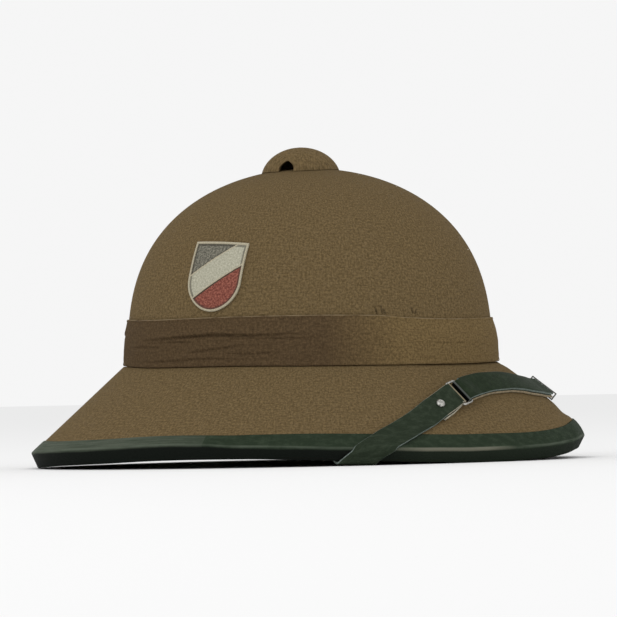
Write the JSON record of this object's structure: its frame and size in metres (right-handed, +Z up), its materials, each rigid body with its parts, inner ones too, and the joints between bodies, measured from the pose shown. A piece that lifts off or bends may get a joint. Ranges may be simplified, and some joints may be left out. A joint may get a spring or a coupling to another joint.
{
  "type": "pith helmet",
  "caption": "Hard cloth-covered sun helmet with a domed crown, wound cloth band, sloping brim bound in leather, leather chin strap over the brim, shield badge and vented cap.",
  "frame": {"origin": "on the floor that the rim rests on, in the middle of the rim", "axes": "+X to the helmet's front, +Y to the wearer's left, +Z up"},
  "size_m": [0.3419, 0.2746, 0.1954],
  "materials": {
    "canvas": "matt khaki cotton canvas over cork",
    "band_cloth": "matt khaki cloth, a little darker than the canvas",
    "green_leather": "dark green leather, worn paler towards the back",
    "strap_leather": "dark green leather, slightly glossy",
    "nickel_plate": "dull nickel-plated wire and sheet",
    "badge_metal": "pressed metal, its fields painted, pale metal border and ridges"
  },
  "bodies": {
    "root": {"crown": "canvas", "brim": "canvas", "vent_cap": "canvas", "hat_band": "band_cloth", "rim_binding": "green_leather", "strap_short": "strap_leather", "strap_long": "strap_leather", "strap_loop": "nickel_plate", "strap_slide": "nickel_plate", "strap_rivet": "nickel_plate", "strap_stud_right": "nickel_plate", "strap_stud_left": "nickel_plate", "badge": "badge_metal"}
  },
  "joints": []
}
